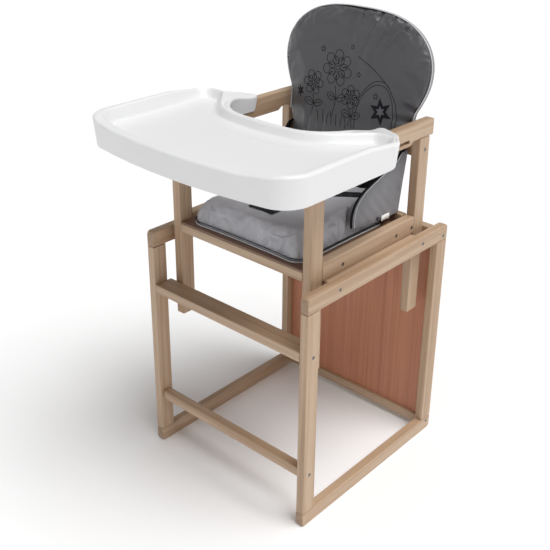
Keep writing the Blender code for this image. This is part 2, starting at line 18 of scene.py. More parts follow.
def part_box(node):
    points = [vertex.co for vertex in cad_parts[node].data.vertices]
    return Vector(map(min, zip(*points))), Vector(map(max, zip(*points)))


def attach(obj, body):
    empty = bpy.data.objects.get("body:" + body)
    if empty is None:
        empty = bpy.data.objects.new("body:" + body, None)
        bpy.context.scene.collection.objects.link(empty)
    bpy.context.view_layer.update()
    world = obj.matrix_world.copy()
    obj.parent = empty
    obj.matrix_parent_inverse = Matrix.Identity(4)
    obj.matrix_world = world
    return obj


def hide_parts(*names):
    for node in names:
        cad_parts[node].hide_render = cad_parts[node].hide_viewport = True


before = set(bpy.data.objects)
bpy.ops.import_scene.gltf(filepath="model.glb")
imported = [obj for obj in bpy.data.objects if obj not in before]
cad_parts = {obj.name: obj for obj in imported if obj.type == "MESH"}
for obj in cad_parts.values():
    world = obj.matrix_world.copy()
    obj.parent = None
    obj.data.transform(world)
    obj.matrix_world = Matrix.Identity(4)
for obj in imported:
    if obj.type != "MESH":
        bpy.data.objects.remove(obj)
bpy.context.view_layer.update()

SIDES = {"left": -1, "right": 1}
BACK_LEAN = atan(0.156)
BOARD_THICK = 0.0055
BOARD_BELOW_SEAT = 0.020


# --- Camera, floor and light ------------------------------------------------------------------


CAMERA_TURN, CAMERA_TILT, CAMERA_ROLL = radians(40.46), radians(24.66), radians(1.13)
CAMERA_PLACE = (1.1841, -1.3342, 1.3827)
CAMERA_LENS = 58.76
CAMERA_SHIFT = (-0.037, -0.073)
SKY_BAND = (0.03, 0.16)
SKY_STRENGTH = (1.5, 0.35)
SOFTBOX_ENERGY = 2.60
SOFTBOX_ANGLE = radians(42)
SOFTBOX_TOWARDS = (0.42, 0.02, 1.0)
FLOOR_SIZE = 200


def build_camera():
    turn, tilt, roll = CAMERA_TURN, CAMERA_TILT, CAMERA_ROLL
    back = Vector((sin(turn) * cos(tilt), -cos(turn) * cos(tilt), sin(tilt)))
    level = Vector((cos(turn), sin(turn), 0))
    above = back.cross(level)
    across = cos(roll) * level + sin(roll) * above
    upward = cos(roll) * above - sin(roll) * level
    data = bpy.data.cameras.new("camera")
    data.sensor_width = 36
    data.lens = CAMERA_LENS
    data.shift_x, data.shift_y = CAMERA_SHIFT
    camera = bpy.data.objects.new("camera", data)
    axes = Matrix((across, upward, back)).transposed().to_4x4()
    camera.matrix_world = Matrix.Translation(CAMERA_PLACE) @ axes
    bpy.context.scene.collection.objects.link(camera)
    bpy.context.scene.camera = camera


def build_studio():
    """A white room, brighter near the horizon, with one broad soft light from the right and above."""
    world = bpy.data.worlds.new("studio")
    world.use_nodes = True
    tree = world.node_tree
    direction = node(tree, "ShaderNodeTexCoord").outputs["Generated"]
    height = node(tree, "ShaderNodeSeparateXYZ", {"Vector": direction}).outputs["Z"]
    sky = tree.nodes["Background"]
    sky.inputs["Color"].default_value = (1, 1, 1, 1)
    strength = spread(tree, height, *SKY_BAND, *SKY_STRENGTH)
    tree.links.new(strength, sky.inputs["Strength"])
    bpy.context.scene.world = world
    bpy.context.scene.view_settings.view_transform = "Standard"
    data = bpy.data.lights.new("softbox", "SUN")
    data.energy = SOFTBOX_ENERGY
    data.angle = SOFTBOX_ANGLE
    light = bpy.data.objects.new("softbox", data)
    towards = Vector(SOFTBOX_TOWARDS)
    light.rotation_euler = towards.to_track_quat("Z", "Y").to_euler()
    light.location = towards * 3
    bpy.context.scene.collection.objects.link(light)

    mesh = bpy.data.meshes.new("floor")
    bm = bmesh.new()
    bmesh.ops.create_grid(bm, x_segments=1, y_segments=1, size=FLOOR_SIZE)
    bm.to_mesh(mesh)
    bm.free()
    floor = bpy.data.objects.new("floor", mesh)
    bpy.context.scene.collection.objects.link(floor)
    made, tree, shader = surface("floor_paint", (0.93, 0.93, 0.93), 0.9)
    where = node(tree, "ShaderNodeTexCoord").outputs["Object"]
    grain = node(tree, "ShaderNodeTexNoise", {"Vector": where, "Scale": 3.0, "Detail": 4.0}).outputs[0]
    colour = mix(tree, grain, (0.925, 0.925, 0.925, 1), (0.94, 0.94, 0.94, 1))
    tree.links.new(colour, shader.inputs["Base Color"])
    mesh.materials.append(made)


# --- Material tools ---------------------------------------------------------------------------


def surface(name, colour, roughness, metallic=0.0):
    made = bpy.data.materials.new(name)
    made.use_nodes = True
    shader = made.node_tree.nodes["Principled BSDF"]
    shader.inputs["Base Color"].default_value = (*colour, 1)
    shader.inputs["Roughness"].default_value = roughness
    shader.inputs["Metallic"].default_value = metallic
    return made, made.node_tree, shader


def node(tree, kind, inputs=None, **settings):
    made = tree.nodes.new(kind)
    for key, value in settings.items():
        setattr(made, key, value)
    for key, value in (inputs or {}).items():
        if isinstance(value, bpy.types.NodeSocket):
            tree.links.new(value, made.inputs[key])
        else:
            made.inputs[key].default_value = value
    return made


def mix(tree, factor, a, b, blend="MIX"):
    """A colour between a and b."""
    settings = {"data_type": "RGBA", "blend_type": blend}
    return node(tree, "ShaderNodeMix", {0: factor, 6: a, 7: b}, **settings).outputs[2]


def spread(tree, value, low, high, to_low=0.0, to_high=1.0):
    """A number stretched from one range onto another, and held inside it."""
    limits = {"Value": value, "From Min": low, "From Max": high, "To Min": to_low, "To Max": to_high}
    return node(tree, "ShaderNodeMapRange", limits).outputs[0]


def calc(tree, operation, a, b=0.0):
    return node(tree, "ShaderNodeMath", {0: a, 1: b}, operation=operation).outputs[0]


def noise_at(tree, where, scale, detail=2.0, distortion=0.0):
    """Noise whose scale is one number, or three to draw it out along an axis."""
    if not isinstance(scale, float):
        where = node(tree, "ShaderNodeMapping", {"Vector": where, "Scale": scale}).outputs["Vector"]
        scale = 1.0
    inputs = {"Vector": where, "Scale": scale, "Detail": detail, "Distortion": distortion}
    return node(tree, "ShaderNodeTexNoise", inputs).outputs[0]


def bump(tree, height, strength, distance, under=None):
    inputs = {"Height": height, "Strength": strength, "Distance": distance}
    if under is not None:
        inputs["Normal"] = under
    return node(tree, "ShaderNodeBump", inputs).outputs["Normal"]


# --- Materials --------------------------------------------------------------------------------


def wood(name, axis, light, dark, fleck, ring_scale=60.0, gloss=0.46):
    """Planed wood whose grain runs along an axis (0, 1 or 2), with darker end grain."""
    made, tree, shader = surface(name, light, gloss)
    where = node(tree, "ShaderNodeTexCoord").outputs["Object"]
    facing = node(tree, "ShaderNodeTexCoord").outputs["Normal"]

    def streaks(along, across, detail, distortion=0.0):
        scale = [across] * 3
        scale[axis] = along
        return noise_at(tree, where, scale, detail, distortion)

    rings = spread(tree, streaks(1.3, ring_scale, 5.0, 1.0), 0.38, 0.66)
    tone = spread(tree, streaks(0.8, 9.0, 2.0), 0.36, 0.64)
    fibres = streaks(14.0, 900.0, 2.0)
    pores = spread(tree, streaks(130.0, 1900.0, 1.0), 0.66, 0.74)
    colour = mix(tree, rings, (*light, 1), (*dark, 1))
    warm = [light[0] * 0.93, light[1] * 0.85, light[2] * 0.76, 1]
    colour = mix(tree, calc(tree, "MULTIPLY", tone, 0.45), colour, warm)
    colour = mix(tree, spread(tree, fibres, 0.3, 0.7, 0.0, 0.16), colour, (*dark, 1), "MULTIPLY")
    colour = mix(tree, calc(tree, "MULTIPLY", pores, 0.5), colour, (*fleck, 1))
    part = node(tree, "ShaderNodeSeparateXYZ", {"Vector": facing}).outputs[axis]
    end = spread(tree, calc(tree, "ABSOLUTE", part), 0.80, 0.92, 0.0, 0.75)
    spots = spread(tree, noise_at(tree, where, 420.0, 3.0, 0.4), 0.35, 0.65)
    end_tone = mix(tree, spots, (*dark, 1), [c * 0.58 for c in dark] + [1])
    colour = mix(tree, end, colour, end_tone)
    tree.links.new(colour, shader.inputs["Base Color"])
    rough = spread(tree, calc(tree, "ADD", fibres, pores), 0.3, 1.3, gloss - 0.05, gloss + 0.16)
    tree.links.new(rough, shader.inputs["Roughness"])
    relief = bump(tree, fibres, 0.35, 0.0002)
    relief = bump(tree, calc(tree, "SUBTRACT", 1.0, pores), 0.5, 0.0002, relief)
    tree.links.new(relief, shader.inputs["Normal"])
    shader.inputs["Coat Weight"].default_value = 0.12
    shader.inputs["Coat Roughness"].default_value = 0.35
    return made


def moulded_plastic(name, colour, roughness, coat):
    """Injection-moulded plastic: faint flow shading, a fine texture, and polish that varies a little."""
    made, tree, shader = surface(name, colour, roughness)
    where = node(tree, "ShaderNodeTexCoord").outputs["Object"]
    flow = noise_at(tree, where, 4.0, 1.0, 0.2)
    grain = noise_at(tree, where, 1400.0, 2.0)
    waves = noise_at(tree, where, 7.0, 1.0)
    shade = [c * 0.98 for c in colour] + [1]
    tone = mix(tree, spread(tree, flow, 0.35, 0.65), (*colour, 1), shade)
    tree.links.new(tone, shader.inputs["Base Color"])
    worn = spread(tree, flow, 0.3, 0.7, roughness - 0.05, roughness + 0.06)
    tree.links.new(worn, shader.inputs["Roughness"])
    relief = bump(tree, waves, 0.04, 0.0004)
    relief = bump(tree, grain, 0.05, 0.00004, relief)
    tree.links.new(relief, shader.inputs["Normal"])
    shader.inputs["Coat Weight"].default_value = coat
    shader.inputs["Coat Roughness"].default_value = 0.12
    return made


def weave(tree, where, axes, pitch):
    """The relief of a plain weave, from 0 to 1, with its threads along two axes."""
    parts = node(tree, "ShaderNodeSeparateXYZ", {"Vector": where})
    threads = []
    for axis in axes:
        turns = calc(tree, "MULTIPLY", parts.outputs[axis], 2 * pi / pitch)
        threads.append(calc(tree, "SINE", turns))
    return spread(tree, calc(tree, "MULTIPLY", *threads), -1.0, 1.0)


def cloth(name, colour, roughness, axes=(0, 2), pitch=0.0005, sheen=0.25, lean=0.0, gloss=0.5):
    """Woven polyester with a satin face. Its threads run along two axes, leaned back about X."""
    made, tree, shader = surface(name, colour, roughness)
    where = node(tree, "ShaderNodeTexCoord").outputs["Object"]
    if lean:
        turn = {"Vector": where, "Rotation": (lean, 0, 0)}
        where = node(tree, "ShaderNodeMapping", turn).outputs["Vector"]
    threads = weave(tree, where, axes, pitch)
    cloudy = noise_at(tree, where, 16.0, 3.0, 0.5)
    slub_scale = [120.0, 120.0, 120.0]
    slub_scale[axes[0]] = 1800.0
    slubs = noise_at(tree, where, slub_scale, 2.0)
    dark = [c * 0.90 for c in colour] + [1]
    pale = [c * 1.07 for c in colour] + [1]
    base = mix(tree, spread(tree, cloudy, 0.35, 0.65), dark, pale)
    base = mix(tree, spread(tree, threads, 0.0, 1.0, 0.22, 0.0), base, dark)
    base = mix(tree, spread(tree, slubs, 0.55, 0.75, 0.0, 0.25), base, pale)
    tree.links.new(base, shader.inputs["Base Color"])
    rough = spread(tree, cloudy, 0.3, 0.7, roughness - 0.06, roughness + 0.08)
    tree.links.new(rough, shader.inputs["Roughness"])
    creases = bump(tree, noise_at(tree, where, 60.0, 3.0, 0.6), 0.22, 0.0012)
    relief = bump(tree, threads, 0.30, 0.00008, creases)
    tree.links.new(relief, shader.inputs["Normal"])
    shader.inputs["Specular IOR Level"].default_value = gloss
    shader.inputs["Sheen Weight"].default_value = sheen
    shader.inputs["Sheen Roughness"].default_value = 0.35
    return made


def webbing_weave(name, axis):
    """Black nylon webbing, ribbed across its length."""
    made, tree, shader = surface(name, (0.012, 0.012, 0.013), 0.72)
    shader.inputs["Specular IOR Level"].default_value = 0.2
    where = node(tree, "ShaderNodeTexCoord").outputs["Object"]
    ribs = weave(tree, where, (axis, 1 - axis), 0.0022)
    fuzz = noise_at(tree, where, 900.0, 2.0)
    colour = mix(tree, ribs, (0.006, 0.006, 0.007, 1), (0.022, 0.022, 0.024, 1))
    colour = mix(tree, spread(tree, fuzz, 0.5, 0.8, 0.0, 0.4), colour, (0.04, 0.04, 0.042, 1))
    tree.links.new(colour, shader.inputs["Base Color"])
    tree.links.new(spread(tree, fuzz, 0.3, 0.7, 0.64, 0.82), shader.inputs["Roughness"])
    tree.links.new(bump(tree, ribs, 0.6, 0.0004), shader.inputs["Normal"])
    return made


def brushed_steel(name):
    made, tree, shader = surface(name, (0.22, 0.21, 0.20), 0.34, 1.0)
    where = node(tree, "ShaderNodeTexCoord").outputs["Object"]
    marks = noise_at(tree, where, 900.0, 3.0, 0.5)
    tone = mix(tree, marks, (0.12, 0.115, 0.11, 1), (0.34, 0.33, 0.32, 1))
    tree.links.new(tone, shader.inputs["Base Color"])
    tree.links.new(spread(tree, marks, 0.3, 0.7, 0.26, 0.48), shader.inputs["Roughness"])
    tree.links.new(bump(tree, marks, 0.2, 0.0001), shader.inputs["Normal"])
    return made


BEECH_LIGHT = (0.545, 0.399, 0.276)
BEECH_DARK = (0.372, 0.238, 0.145)
BEECH_FLECK = (0.27, 0.165, 0.095)
BEECH = [wood(f"beech_{'xyz'[axis]}", axis, BEECH_LIGHT, BEECH_DARK, BEECH_FLECK) for axis in range(3)]
VENEER_TONES = ((0.545, 0.235, 0.132), (0.425, 0.172, 0.092), (0.21, 0.08, 0.042))
PANEL_VENEER = wood("panel_veneer", 2, *VENEER_TONES, 95.0, 0.42)
PLYWOOD_TONES = ((0.205, 0.112, 0.068), (0.150, 0.078, 0.046), (0.08, 0.04, 0.025))
PLYWOOD = [wood(f"plywood_{'xyz'[axis]}", axis, *PLYWOOD_TONES, 80.0, 0.5) for axis in range(3)]
TRAY_WHITE = moulded_plastic("tray_white", (0.795, 0.795, 0.80), 0.38, 0.08)
BUCKLE_BLACK = moulded_plastic("buckle_black", (0.016, 0.016, 0.017), 0.38, 0.0)
STEEL = brushed_steel("steel")
# Partly the cloth's own light grey and partly painted light: the seat's grey is set about twice as light as
# the wings' grey, to make up for the shade that the tray casts on it.
SEAT_GREY_WITH_PAINTED_LIGHT = cloth("seat_grey_painted_light", (0.415, 0.412, 0.440), 0.42, (0, 1), sheen=0.16, gloss=0.42)
WING_GREY = cloth("wing_grey", (0.182, 0.180, 0.195), 0.42, (1, 2), sheen=0.30)
BACK_GREY = cloth("back_grey", (0.250, 0.248, 0.265), 0.46, (0, 2), lean=BACK_LEAN)
CHARCOAL = cloth("charcoal", (0.076, 0.076, 0.083), 0.40, (0, 2), sheen=0.26, lean=BACK_LEAN)
# Pale piping of the seat foot and the back seam, also used for the painted highlight cord beside each
# wing's black front piping.
PALE_PIPING_AND_HIGHLIGHT = cloth("pale_piping_and_painted_highlight", (0.66, 0.66, 0.68), 0.55, (0, 2), 0.0007)
LINING = cloth("black_lining", (0.006, 0.006, 0.007), 0.70, (1, 2), sheen=0.0, gloss=0.15)
PRINT_INK = cloth("print_ink", (0.006, 0.006, 0.009), 0.60, (0, 2), lean=BACK_LEAN, sheen=0.0, gloss=0.2)
PRINT_PALE = cloth("print_pale", (0.105, 0.105, 0.120), 0.50, (0, 2), lean=BACK_LEAN)
TAG_WHITE = cloth("tag_white", (0.80, 0.79, 0.77), 0.60, (1, 2), 0.0006)
WEBBING = {0: webbing_weave("webbing_x", 0), 1: webbing_weave("webbing_y", 1)}


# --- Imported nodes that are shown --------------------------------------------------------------


def smooth_by_angle():
    """A node group that shades faces smooth and keeps edges sharp above an angle."""
    group = bpy.data.node_groups.new("smooth_below_angle", "GeometryNodeTree")
    group.interface.new_socket("Geometry", in_out="INPUT", socket_type="NodeSocketGeometry")
    group.interface.new_socket("Geometry", in_out="OUTPUT", socket_type="NodeSocketGeometry")
    start = group.nodes.new("NodeGroupInput")
    angle = group.nodes.new("GeometryNodeInputMeshEdgeAngle")
    sharp = node(group, "FunctionNodeCompare", {1: radians(50)}, operation="GREATER_THAN")
    group.links.new(angle.outputs[0], sharp.inputs[0])
    whole = {"Geometry": start.outputs[0], "Shade Smooth": True}
    faces = node(group, "GeometryNodeSetShadeSmooth", whole)
    faces.domain = "FACE"
    chosen = {"Selection": sharp.outputs[0], "Shade Smooth": False}
    edges = node(group, "GeometryNodeSetShadeSmooth", chosen)
    edges.domain = "EDGE"
    group.links.new(faces.outputs[0], edges.inputs["Geometry"])
    end = group.nodes.new("NodeGroupOutput")
    group.links.new(edges.outputs[0], end.inputs[0])
    return group


def finish_nodes():
    """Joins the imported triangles' corners for shading, and gives each node its material."""
    shading = smooth_by_angle()
    for name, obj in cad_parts.items():
        mesh = obj.data
        for attribute in ("custom_normal", "sharp_face", "sharp_edge"):
            if attribute in mesh.attributes:
                mesh.attributes.remove(mesh.attributes[attribute])
        weld = obj.modifiers.new("weld", "WELD")
        weld.merge_threshold = 0.00001
        smooth = obj.modifiers.new("smooth", "NODES")
        smooth.node_group = shading
        even = obj.modifiers.new("even_normals", "WEIGHTED_NORMAL")
        even.keep_sharp = True
        even.weight = 70
        low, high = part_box(name)
        size = high - low
        longest = max(range(3), key=lambda axis: size[axis])
        if name == "tray":
            finish = TRAY_WHITE
        elif "_bolt" in name:
            finish = STEEL
        elif name == "table_panel":
            finish = PANEL_VENEER
        elif name in ("seat_board", "backrest_board"):
            finish = PLYWOOD[longest]
        else:
            finish = BEECH[longest]
        obj.data.materials[0] = finish


# --- Mesh tools -------------------------------------------------------------------------------


def piece(name, bm, finish, body):
    """Ends a bmesh as a smooth-shaded piece that rides on a body."""
    bmesh.ops.recalc_face_normals(bm, faces=bm.faces)
    mesh = bpy.data.meshes.new(name)
    bm.to_mesh(mesh)
    bm.free()
    mesh.shade_smooth()
    finishes = finish if isinstance(finish, (list, tuple)) else [finish]
    for one in finishes:
        mesh.materials.append(one)
    obj = bpy.data.objects.new(name, mesh)
    bpy.context.scene.collection.objects.link(obj)
    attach(obj, body)
    return obj


def smooth_run(points, steps, closed=False):
    """A Catmull-Rom curve through points, with this many steps in each stretch."""
    points = [Vector(p) for p in points]
    count = len(points)
    made = []
    for i in range(count if closed else count - 1):
        if closed:
            a, b, c, d = (points[(i + k) % count] for k in (-1, 0, 1, 2))
        else:
            a, d = points[max(i - 1, 0)], points[min(i + 2, count - 1)]
            b, c = points[i], points[i + 1]
        for k in range(steps):
            t = k / steps
            made.append(
                0.5 * (2 * b + (c - a) * t + (2 * a - 5 * b + 4 * c - d) * t**2
                       + (3 * b - a - 3 * c + d) * t**3)
            )
    return made if closed else made + [points[-1]]


def sweep(bm, points, section, closed=False, normal=None):
    """Sweeps a closed section of (across, up) points along a path. normal gives each point's up."""
    count = len(points)
    rings = []
    up = None
    for i, point in enumerate(points):
        if closed:
            along = points[(i + 1) % count] - points[i - 1]
        else:
            along = points[min(i + 1, count - 1)] - points[max(i - 1, 0)]
        along.normalize()
        if normal is not None:
            up = Vector(normal[i])
        elif up is None:
            up = Vector((0, 0, 1)) if abs(along.z) < 0.9 else Vector((0, 1, 0))
        up = (up - along * up.dot(along)).normalized()
        across = along.cross(up)
        rings.append([bm.verts.new(point + across * u + up * v) for u, v in section])
    pairs = list(zip(rings, rings[1:])) + ([(rings[-1], rings[0])] if closed else [])
    size = len(section)
    for first, second in pairs:
        for k in range(size):
            bm.faces.new((first[k - 1], first[k], second[k], second[k - 1]))
    if not closed:
        bm.faces.new(rings[0])
        bm.faces.new(list(reversed(rings[-1])))


def circle(radius, sides=8):
    return [(radius * cos(2 * pi * k / sides), radius * sin(2 * pi * k / sides)) for k in range(sides)]


def flat_band(width, thick, soft=0.35):
    """The section of a strap: a flat band with rounded edges."""
    w, t = width / 2, thick / 2
    return [(w, 0), (w - t * soft, t), (0, t * 1.05), (-w + t * soft, t), (-w, 0), (-w + t * soft, -t),
            (0, -t), (w - t * soft, -t)]


def tube(name, points, radius, finish, closed=False):
    bm = bmesh.new()
    sweep(bm, points, circle(radius), closed)
    return piece(name, bm, finish, "chair")


def prism(outline, low, high):
    """A closed solid between two heights from an outline of 2D points."""
    bm = bmesh.new()
    lower = [bm.verts.new((p[0], p[1], low)) for p in outline]
    upper = [bm.verts.new((p[0], p[1], high)) for p in outline]
    count = len(outline)
    for i in range(count):
        bm.faces.new((lower[i - 1], lower[i], upper[i], upper[i - 1]))
    bm.faces.new(list(reversed(lower)))
    bm.faces.new(upper)
    return bm


def coordinates(mesh):
    flat = np.zeros(len(mesh.vertices) * 3)
    mesh.vertices.foreach_get("co", flat)
    return flat.reshape(-1, 3)


def set_coordinates(mesh, points):
    mesh.vertices.foreach_set("co", np.asarray(points, dtype=np.float32).ravel())
    mesh.update()


def apply_modifiers(obj):
    """Replaces an object's mesh with its evaluated one, and clears its modifiers."""
    graph = bpy.context.evaluated_depsgraph_get()
    mesh = bpy.data.meshes.new_from_object(obj.evaluated_get(graph))
    obj.modifiers.clear()
    obj.data = mesh
    mesh.shade_smooth()


def remesh(obj, voxel):
    made = obj.modifiers.new("remesh", "REMESH")
    made.mode = "VOXEL"
    made.voxel_size = voxel
    apply_modifiers(obj)


def subdivide(obj):
    made = obj.modifiers.new("fine", "SUBSURF")
    made.levels = 1
    made.render_levels = 1
    apply_modifiers(obj)


def thicken(obj, thickness):
    """Gives an open sheet its thickness, on the side that its faces point away from."""
    made = obj.modifiers.new("thickness", "SOLIDIFY")
    made.thickness = thickness
    made.offset = -1
    apply_modifiers(obj)


def puff(obj, held, pressure, cap, growth, frames=20):
    """Swells a closed pad with cloth pressure. held marks the points that stay, and no point moves
    further than cap. growth is the share by which the cloth is larger than the pad, which wrinkles it."""
    rest = coordinates(obj.data)
    pins = obj.vertex_groups.new(name="held")
    for index in np.nonzero(held(rest))[0]:
        pins.add([int(index)], 1.0, "REPLACE")
    made = obj.modifiers.new("cloth", "CLOTH")
    cloth_settings = made.settings
    cloth_settings.vertex_group_mass = "held"
    cloth_settings.use_pressure = True
    cloth_settings.uniform_pressure_force = pressure
    cloth_settings.shrink_min = -growth
    cloth_settings.quality = 5
    cloth_settings.mass = 0.25
    cloth_settings.tension_stiffness = 12
    cloth_settings.compression_stiffness = 12
    cloth_settings.bending_stiffness = 0.08
    cloth_settings.effector_weights.gravity = 0
    made.point_cache.frame_end = frames
    scene = bpy.context.scene
    for number in range(1, frames + 1):
        scene.frame_set(number)
    apply_modifiers(obj)
    scene.frame_set(1)
    moved = coordinates(obj.data) - rest
    reach = np.linalg.norm(moved, axis=1, keepdims=True)
    share = np.minimum(1.0, cap / np.maximum(reach, 1e-9))
    set_coordinates(obj.data, rest + moved * share)
    obj.vertex_groups.clear()


def nearest_on(outline, points):
    """For each 2D point, its distance to a closed outline, and how far along the outline that is."""
    a = np.array([[p[0], p[1]] for p in outline])
    b = np.roll(a, -1, axis=0)
    side = b - a
    length = np.linalg.norm(side, axis=1)
    start = np.concatenate(([0.0], np.cumsum(length)[:-1]))
    best = np.full(len(points), 1e9)
    along = np.zeros(len(points))
    for k in range(len(a)):
        t = np.clip(((points - a[k]) @ side[k]) / length[k] ** 2, 0, 1)
        reach = np.linalg.norm(points - (a[k] + t[:, None] * side[k]), axis=1)
        closer = reach < best
        best = np.where(closer, reach, best)
        along = np.where(closer, start[k] + t * length[k], along)
    return best, along, length.sum()


def gathers(depth_in, along, total, count, deep, long, wide, seed, slant=0.5):
    """How far a seam's small gathers draw the cloth in, at a distance from the seam and along it."""
    draw = random.Random(seed)
    made = np.zeros(len(along))
    for k in range(count):
        place = (k + draw.uniform(-0.35, 0.35)) * total / count
        reach = long * draw.uniform(0.45, 1.3)
        width = wide * draw.uniform(0.7, 1.35)
        lean = draw.uniform(-slant, slant)
        depth = deep * draw.uniform(0.35, 1.0)
        gap = (along - place - lean * depth_in + total / 2) % total - total / 2
        narrow = width * (1.0 - 0.45 * np.clip(depth_in / reach, 0, 1))
        one = depth * np.exp(-((gap / narrow) ** 2)) * np.exp(-((depth_in / reach) ** 2))
        made = np.maximum(made, one)
    return made * np.clip(depth_in / 0.004, 0, 1)


def fold(points, start, end, deep, wide):
    """The depth of one long soft fold between two 2D points, deepest at its start."""
    a, b = np.array(start), np.array(end)
    side = b - a
    t = np.clip(((points - a) @ side) / (side @ side), 0, 1)
    reach = np.linalg.norm(points - (a + t[:, None] * side), axis=1)
    grown = wide * (0.6 + 0.8 * t)
    valley = np.exp(-((reach / grown) ** 2))
    shoulder = 0.5 * np.exp(-((reach / grown - 1.7) ** 2))
    return deep * (1 - t) ** 0.7 * (valley - shoulder)


def vertex_normals(mesh):
    flat = np.zeros(len(mesh.vertices) * 3)
    mesh.vertex_normals.foreach_get("vector", flat)
    return flat.reshape(-1, 3)


def surface_tree(obj):
    bm = bmesh.new()
    bm.from_mesh(obj.data)
    bm.transform(obj.matrix_world)
    found = BVHTree.FromBMesh(bm)
    bm.free()
    return found


# --- Seat cushion -----------------------------------------------------------------------------

SEAT_SEAM = 0.0085
SEAT_CROWN = 0.0085
SEAT_SAG = 0.003
REAR_RISE = 0.013
REAR_REACH = 0.060
REAR_PUSH = 0.045
PAD_DEPTH = 0.0275


def seat_outline(grow, sag):
    """The cushion's plan: rounded corners, and sides that pull in between them by sag."""
    low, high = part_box("seat_cushion")
    half = high.x + grow
    front, rear = low.y - grow, high.y + grow
    corners = [(half, front, 0.030), (half, rear, 0.020), (-half, rear, 0.020), (-half, front, 0.030)]
    points = []
    for k, (x, y, radius) in enumerate(corners):
        centre = Vector((x - radius * (1 if x > 0 else -1), y + radius * (1 if y == front else -1)))
        start = -pi / 2 + k * pi / 2
        for step in range(7):
            angle = start + pi / 2 * step / 6
            points.append(centre + Vector((cos(angle), sin(angle))) * radius)
        after = corners[(k + 1) % 4]
        straight = Vector(after[:2]) - Vector((x, y))
        for step in range(1, 12):
            t = step / 12
            if straight.length * t < radius or straight.length * (1 - t) < after[2]:
                continue
            spot = Vector((x, y)) + straight * t
            inward = Vector((-straight.y, straight.x)).normalized()
            points.append(spot + inward * sag * sin(pi * t))
    return points


def board_face(height):
    """How far back the front face of the back board is at a height."""
    board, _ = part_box("backrest_board")
    foot_z = board.z + BOARD_THICK * sin(BACK_LEAN)
    return board.y + (height - foot_z) * tan(BACK_LEAN)


def build_seat_cushion():
    low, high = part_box("seat_cushion")
    seam = low.z + SEAT_SEAM
    outline = seat_outline(-0.002, SEAT_SAG)
    bm = prism(outline, low.z + 0.0004, high.z - 0.0080)
    top = [e for e in bm.edges if all(v.co.z > seam for v in e.verts)]
    bmesh.ops.bevel(bm, geom=top, offset=0.031, segments=8, profile=0.5, affect="EDGES")
    # The cover's grey carries painted light against the tray's shade.
    cushion = piece("seat_cushion_cover", bm, SEAT_GREY_WITH_PAINTED_LIGHT, "chair")
    remesh(cushion, 0.0048)
    puff(cushion, lambda p: p[:, 2] < seam + 0.001, pressure=4.0, cap=0.016, growth=0.07)
    subdivide(cushion)
    points = coordinates(cushion.data)
    squash = min(1, (high.z + SEAT_CROWN - seam) / (points[:, 2].max() - seam))
    points[:, 2] = seam + (points[:, 2] - seam) * squash
    plan = points[:, :2]
    inside, along, total = nearest_on(outline, plan)
    above = np.clip(points[:, 2] - seam, 0, None)
    reach = np.where(above > 0, inside * 0.6 + above, 0)
    normals = vertex_normals(cushion.data)
    last = np.clip((points[:, 1] - high.y + REAR_REACH) / REAR_REACH, 0, 1)
    small = gathers(reach, along, total, count=46, deep=0.0038, long=0.052, wide=0.0056, seed=11, slant=0.7)
    drawn = small * (above > 0) * (1 - last)
    drawn += 0.0016 * np.clip((reach - 0.012) / 0.03, 0, 1) * np.array(
        [noise.noise(Vector((p[0] * 22 + 3, p[1] * 30, 1.7))) for p in points]
    )
    points = points - normals * drawn[:, None]
    points[:, 2] = np.clip(points[:, 2], low.z + 0.0002, None)
    back_part = np.clip((points[:, 1] - low.y - 0.09) / 0.13, 0, 1)
    rise = REAR_RISE * back_part * back_part * (3 - 2 * back_part)
    share = np.clip((points[:, 2] - seam) / (high.z - seam), 0, None)
    points[:, 2] += rise * share
    points[:, 2] = np.minimum(points[:, 2], high.z + 0.0090 + rise)
    points[:, 1] += REAR_PUSH * last * np.clip(2.2 * share, 0, 1)
    against_back = board_face(points[:, 2]) - PAD_DEPTH
    points[:, 1] = np.minimum(points[:, 1], against_back)
    points[:, 0] = np.clip(points[:, 0], low.x - 0.0015, high.x + 0.0015)
    set_coordinates(cushion.data, points)
    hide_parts("seat_cushion")

    edge = seat_outline(0.0006, SEAT_SAG)
    dark = [Vector((p.x, p.y, seam)) for p in edge]
    tube("seat_seam_piping", dark, 0.0009, LINING, closed=True)
    foot = [Vector((p.x, p.y, low.z + 0.0016)) for p in seat_outline(0.0004, SEAT_SAG)]
    tube("seat_foot_piping", foot, 0.0015, PALE_PIPING_AND_HIGHLIGHT, closed=True)
    return cushion


# --- Harness ----------------------------------------------------------------------------------

STRAP_LIFT = 0.0016
STRAP_THICK = 0.0017
STITCH_INSET = 0.0028
STITCH_RADIUS = 0.00025
WAIST_STRAP_WIDTH = 0.024


def laid(tree, points, lift):
    """Points and normals where a run of (x, y) points lies on the cushion."""
    spots, normals = [], []
    for x, y in points:
        spot, normal, _, _ = tree.ray_cast(Vector((x, y, 1.0)), Vector((0, 0, -1)))
        spots.append(spot + Vector((0, 0, lift)))
        normals.append((normal + Vector((0, 0, 1.5))).normalized())
    for _ in range(3):
        heights = [p.z for p in spots]
        for i in range(1, len(spots) - 1):
            spots[i].z = max(heights[i], (heights[i - 1] + heights[i] + heights[i + 1]) / 3)
    return spots, normals


def strap(name, tree, points, width, axis, replaces):
    """Webbing laid on the cushion, with a line of stitching near each edge."""
    run = [p.xy for p in smooth_run([(x, y, 0) for x, y in points], 8)]
    spots, normals = laid(tree, run, STRAP_LIFT)
    bm = bmesh.new()
    sweep(bm, spots, flat_band(width, STRAP_THICK), normal=normals)
    band = piece(name, bm, WEBBING[axis], "chair")
    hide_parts(replaces)
    bm = bmesh.new()
    for side in (-1, 1):
        for i in range(0, len(spots) - 2, 2):
            along = (spots[i + 1] - spots[i]).normalized()
            across = along.cross(normals[i]).normalized()
            offset = across * side * (width / 2 - STITCH_INSET) + normals[i] * 0.0009
            sweep(bm, [spots[i] + offset, spots[i + 1] + offset], circle(STITCH_RADIUS, 5))
    piece(f"{name}_stitches", bm, CHARCOAL, "chair")
    return band


